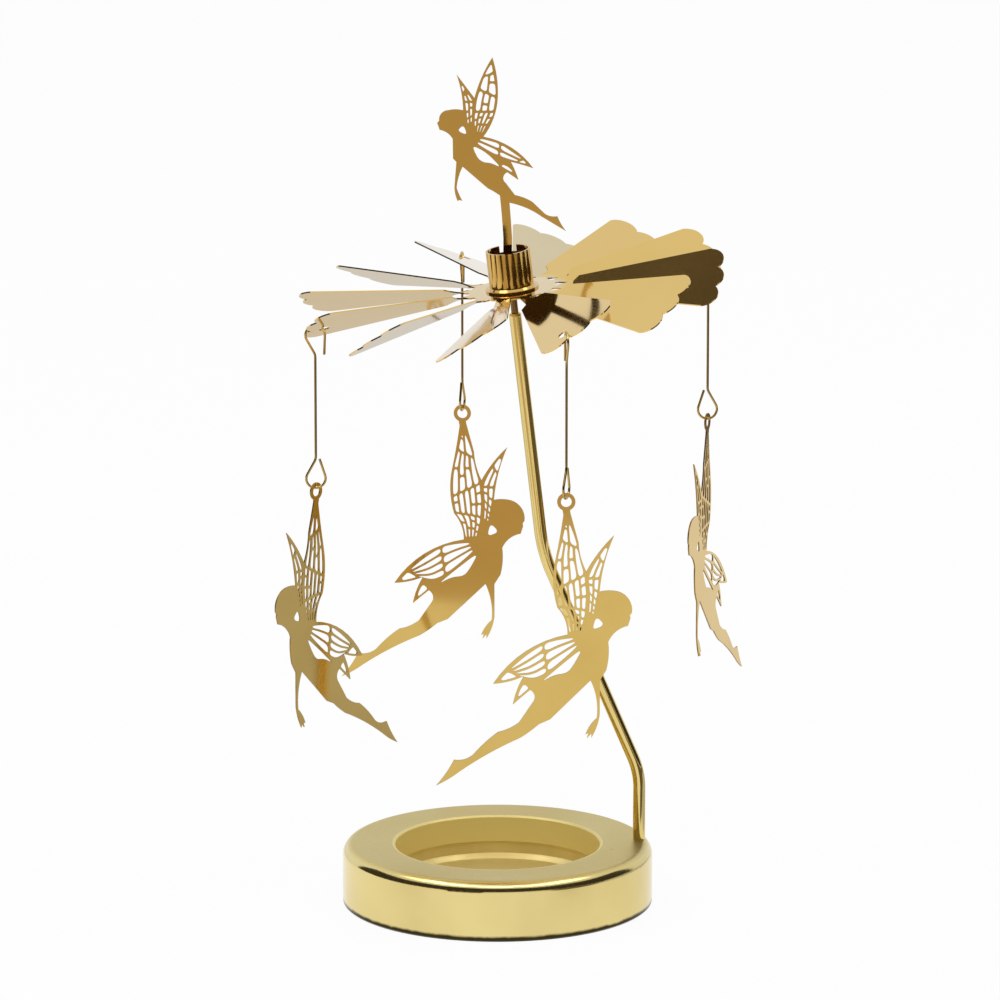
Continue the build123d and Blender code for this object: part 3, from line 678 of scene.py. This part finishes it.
lamp_width, lamp_depth, lamp_target = 0.56, 0.36, (0, 0, 0.05)


def stage_sheet(name, corners, finish, seen=True):
    """Flat four-cornered sheet that belongs to the studio."""
    mesh = bpy.data.meshes.new(name)
    mesh.from_pydata([Vector(corner) for corner in corners], [], [(0, 1, 2, 3)])
    mesh.materials.append(finish)
    panel = add_piece(name, mesh, Matrix.Identity(4))
    panel.visible_camera = seen
    panel.visible_diffuse = seen
    panel.visible_shadow = seen


def seen_white(tree):
    """Share of a surface's look that is plain white: camera rays and mirrored ones."""
    ray = put(tree, "ShaderNodeLightPath").outputs
    mirrored = maths(tree, "MAXIMUM", ray["Is Glossy Ray"], ray["Is Transmission Ray"])
    return maths(tree, "MAXIMUM", ray["Is Camera Ray"], mirrored)


table = bpy.data.materials.new("white_table")
table.use_nodes = True
tree = table.node_tree
shader = tree.nodes["Principled BSDF"]
shader.inputs["Roughness"].default_value = table_matt
where = put(tree, "ShaderNodeTexCoord").outputs["Object"]
paper = blend_colour(tree, noise(tree, where, paper_cloud, detail=3.0), paper_white, paper_grey)
tree.links.new(paper, shader.inputs["Base Color"])
glow = put(tree, "ShaderNodeEmission", {"Color": (1.0, 1.0, 1.0, 1.0), "Strength": 1.0})
mixed = put(tree, "ShaderNodeMixShader", {"Fac": maths(tree, "MULTIPLY", seen_white(tree), table_white)})
tree.links.new(shader.outputs[0], mixed.inputs[1])
tree.links.new(glow.outputs[0], mixed.inputs[2])
tree.links.new(mixed.outputs[0], tree.nodes["Material Output"].inputs["Surface"])
corners = [(-1, -1, 0), (1, -1, 0), (1, 1, 0), (-1, 1, 0)]
stage_sheet("table", [Vector(corner) * table_half for corner in corners], table)


def room_cloth(name, colour, other):
    """Dull cloth or board of the room, clouded between two colours."""
    cloth = bpy.data.materials.new(name)
    cloth.use_nodes = True
    tree = cloth.node_tree
    shader = tree.nodes["Principled BSDF"]
    shader.inputs["Roughness"].default_value = cloth_matt
    where = put(tree, "ShaderNodeTexCoord").outputs["Object"]
    cloud = blend_colour(tree, noise(tree, where, cloth_cloud), colour, other)
    tree.links.new(cloud, shader.inputs["Base Color"])
    return cloth


def room_wall(name, turns, reach, top, finish):
    """Upright panels round the table, from angle to angle, which only reflections see."""
    turns = [math.radians(angle) for angle in turns]
    for k, (a, b) in enumerate(zip(turns, turns[1:])):
        feet = [(reach * math.sin(angle), -reach * math.cos(angle)) for angle in (a, b)]
        corners = [(*feet[0], 0), (*feet[1], 0), (*feet[1], top), (*feet[0], top)]
        stage_sheet("%s_%d" % (name, k), corners, finish, seen=False)


def room_card(name, left, right, front, back, height, finish):
    """Level card, which only reflections see."""
    corners = [(left, front, height), (right, front, height), (right, back, height), (left, back, height)]
    stage_sheet(name, corners, finish, seen=False)


dark_cloth = room_cloth("dark_cloth", (0.045, 0.034, 0.023, 1.0), (0.075, 0.057, 0.04, 1.0))
brown_board = room_cloth("brown_board", (0.66, 0.5, 0.33, 1.0), (0.74, 0.58, 0.4, 1.0))
grey_board = room_cloth("grey_board", (0.78, 0.77, 0.74, 1.0), (0.82, 0.81, 0.79, 1.0))
dark_card = room_cloth("dark_card", (0.1, 0.08, 0.06, 1.0), (0.16, 0.13, 0.1, 1.0))
dim_board = room_cloth("dim_board", (0.64, 0.65, 0.72, 1.0), (0.7, 0.71, 0.78, 1.0))
brown_cloth = room_cloth("brown_cloth", (0.1, 0.07, 0.04, 1.0), (0.15, 0.105, 0.06, 1.0))
room_wall("dark_wall", wall_turns, wall_reach, wall_top, dark_cloth)
room_card("dark_ceiling_card", -0.37, -0.07, 0.28, 0.53, card_height, dark_card)
room_card("near_board", -0.7, 0.7, -1.5, -0.44, card_lift, brown_board)
room_card("left_board", -0.4, -0.06, -0.44, -0.17, card_lift, brown_board)
room_card("far_board", -0.3, 0.1, 0.12, 0.7, card_lift, grey_board)
room_card("right_board", 0.08, 0.34, -0.05, 0.12, card_lift, dim_board)
stage_sheet("right_cloth", [(*corner, card_lift) for corner in cloth_wedge], brown_cloth, seen=False)
room_card("far_right_cloth", 0.34, 1.1, -0.05, 0.4, card_lift, brown_cloth)

daylight = bpy.data.materials.new("daylight")
daylight.use_nodes = True
tree = daylight.node_tree
where = put(tree, "ShaderNodeTexCoord").outputs["Object"]
haze = blend_colour(tree, noise(tree, where, window_haze), window_blue, window_pale)
glow = put(tree, "ShaderNodeEmission", {"Color": haze, "Strength": 1.0})
tree.links.new(glow.outputs[0], tree.nodes["Material Output"].inputs["Surface"])
corners = [(window_left, window_sill), (window_right, window_sill)]
corners += [(window_right, window_top), (window_left, window_top)]
stage_sheet("window", [(x, window_away, z) for x, z in corners], daylight, seen=False)

sky = bpy.data.worlds.new("white_room")
bpy.context.scene.world = sky
sky.use_nodes = True
tree = sky.node_tree
back = tree.nodes["Background"]
strength = maths(tree, "MULTIPLY", seen_white(tree), mirrored_light)
tree.links.new(maths(tree, "ADD", room_light, strength), back.inputs["Strength"])
back.inputs["Color"].default_value = room_white


def aim_at(thing, target):
    """Turns a lamp or a camera to a point."""
    thing.rotation_euler = (Vector(target) - thing.location).to_track_quat("-Z", "Y").to_euler()


for k, angle in enumerate(lamp_turns):
    lamp = bpy.data.lights.new("soft_box_%d" % k, "AREA")
    lamp.shape = "RECTANGLE"
    lamp.size = lamp_width
    lamp.size_y = lamp_depth
    lamp.energy = lamp_power
    soft_box = bpy.data.objects.new(lamp.name, lamp)
    bpy.context.scene.collection.objects.link(soft_box)
    side, front = math.sin(math.radians(angle)), math.cos(math.radians(angle))
    soft_box.location = (lamp_reach * side, -lamp_reach * front, lamp_height)
    aim_at(soft_box, lamp_target)

# Camera
# Stands as for the photo, one and a half metres away with a long lens, a little
# to the left of the front and above the wheel.
distance, round_by, rise = 1.5, math.radians(-6.5), math.radians(15.64)
focal_length, film_width, aim_height, aim_side, sight = 255.98, 36.0, 0.08434, 0.00053, 50.0
away = Vector((math.sin(round_by) * math.cos(rise), -math.cos(round_by) * math.cos(rise), math.sin(rise)))
across = Vector((math.cos(round_by), math.sin(round_by), 0.0))
above = away.cross(across)
lens = bpy.data.cameras.new("camera")
lens.sensor_width = film_width
lens.lens = focal_length
lens.clip_end = sight
camera = bpy.data.objects.new("camera", lens)
bpy.context.scene.collection.objects.link(camera)
camera.location = away * distance
aim_at(camera, above * aim_height + across * aim_side)
bpy.context.scene.camera = camera
bpy.context.scene.view_settings.view_transform = "Standard"
